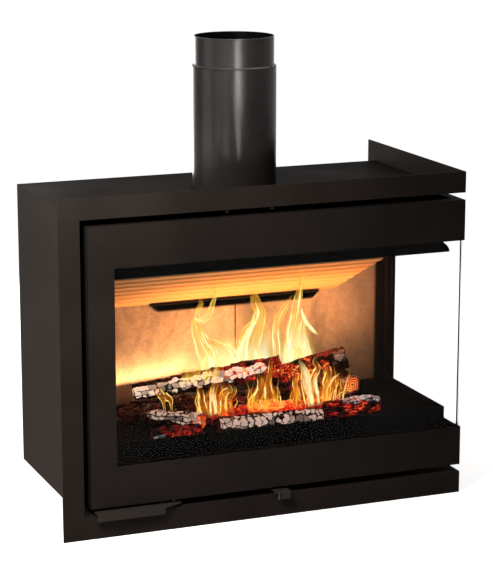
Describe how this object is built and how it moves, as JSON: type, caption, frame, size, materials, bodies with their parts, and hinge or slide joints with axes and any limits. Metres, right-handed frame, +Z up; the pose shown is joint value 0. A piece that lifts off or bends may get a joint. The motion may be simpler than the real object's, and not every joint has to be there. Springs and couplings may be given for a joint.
{
  "type": "fireplace insert",
  "caption": "Black steel corner wood fireplace insert with front and side glass, a hinged corner door, a lined firebox with a wood fire, and a flue pipe.",
  "frame": {"origin": "on the floor under the feet, in the middle of the overall box", "axes": "+X to the viewer's right along the front, +Y from the front to the back, +Z up"},
  "size_m": [1, 0.555, 1.1],
  "materials": {
    "black_paint": "matte",
    "firebox_paint": "matte",
    "flue_paint": "satin",
    "bright_steel": "satin",
    "bush_brass": "satin",
    "hearth_iron": "matte",
    "lining_slab": "matte",
    "clear_glass": "gloss",
    "corner_sealant": "matte",
    "seal_rope": "matte",
    "charred_wood": "matte",
    "glowing_embers": "matte"
  },
  "bodies": {
    "casing": {"trim_frame": "black_paint", "casing_left_panel": "black_paint", "casing_top_panel": "black_paint", "casing_back_panel": "black_paint", "casing_base_panel": "black_paint", "casing_right_return": "black_paint", "levelling_feet": "bright_steel", "foot_nuts": "bright_steel", "firebox_left_wall": "firebox_paint", "firebox_back_wall": "firebox_paint", "firebox_rear_post": "firebox_paint", "firebox_roof": "firebox_paint", "firebox_floor": "firebox_paint", "firebox_left_jamb": "firebox_paint", "firebox_sill": "firebox_paint", "firebox_header": "firebox_paint", "hearth_plate": "hearth_iron", "air_box": "firebox_paint", "slide_guides": "firebox_paint", "air_wash_deflector": "firebox_paint", "lining_back_left": "lining_slab", "lining_back_right": "lining_slab", "lining_left": "lining_slab", "baffle_slab": "lining_slab", "secondary_air_nozzle": "firebox_paint", "secondary_air_duct": "firebox_paint", "air_inlet_spigot": "firebox_paint", "upper_deflector": "firebox_paint", "flue_collar": "firebox_paint", "collar_bolts": "bright_steel", "flue_pipe": "flue_paint", "hinge_column": "black_paint", "hinge_brackets": "bright_steel", "hinge_pins": "bright_steel", "hinge_washer": "bush_brass", "catch_keeper": "bright_steel", "ember_bed": "glowing_embers", "log_round": "charred_wood", "log_left": "charred_wood", "log_front": "charred_wood", "log_top": "charred_wood", "log_right": "charred_wood"},
    "air_control": {"air_slide_plate": "firebox_paint", "air_slide_arm": "black_paint", "air_knob": "black_paint", "knob_stud": "bright_steel"},
    "door": {"hinge_bushes": "bush_brass", "door_frame": "black_paint", "door_inner_panel": "black_paint", "front_glass": "clear_glass", "side_glass": "clear_glass", "glass_corner_seal": "corner_sealant", "glass_retainers": "black_paint", "retainer_screws": "bright_steel", "door_rope_seal": "seal_rope", "handle_bush": "bush_brass"},
    "handle": {"handle_lever": "black_paint", "handle_spindle": "bright_steel", "spindle_nut": "bright_steel"}
  },
  "joints": [
    {"name": "door_hinge", "type": "hinge", "parent": "casing", "child": "door", "pos_m": [0.486, 0.1925, 0.4], "axis": [0, 0, 1], "range_deg": [0, 95]},
    {"name": "handle_turn", "type": "hinge", "parent": "door", "child": "handle", "pos_m": [-0.2325, -0.2445, 0.06175], "axis": [0, 0, 1], "range_deg": [0, 60]},
    {"name": "air_slide", "type": "slide", "parent": "casing", "child": "air_control", "axis": [1, 0, 0], "range_m": [-0.03, 0.03]}
  ]
}
